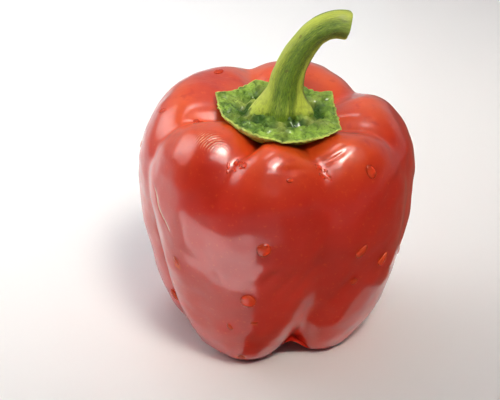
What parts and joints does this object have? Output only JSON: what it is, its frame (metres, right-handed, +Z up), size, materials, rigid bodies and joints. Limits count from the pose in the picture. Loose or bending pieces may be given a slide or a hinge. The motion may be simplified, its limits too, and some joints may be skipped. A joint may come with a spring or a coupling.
{
  "type": "bell pepper",
  "caption": "Ripe red blocky sweet pepper, as picked, with rounded lobes, a star-shaped green calyx and a curved cut stem, resting on its feet.",
  "frame": {"origin": "on the resting surface, below the middle of the pepper's box", "axes": "+Z up along the stem end, -Y the side with the broad front lobe, +X the side the stem bends to"},
  "size_m": [0.0868, 0.0858, 0.115],
  "materials": {
    "pepper_skin": "waxy, glossy red skin with a soft clear coat",
    "calyx_green": "bumpy green leaf tissue, satin, with a paler rim",
    "stem_green": "ribbed green stalk, satin, yellow-green on its edges",
    "water": "clear water drops on the skin"
  },
  "bodies": {
    "root": {"fruit": "pepper_skin", "calyx": "calyx_green", "stem": "stem_green"}
  },
  "joints": []
}
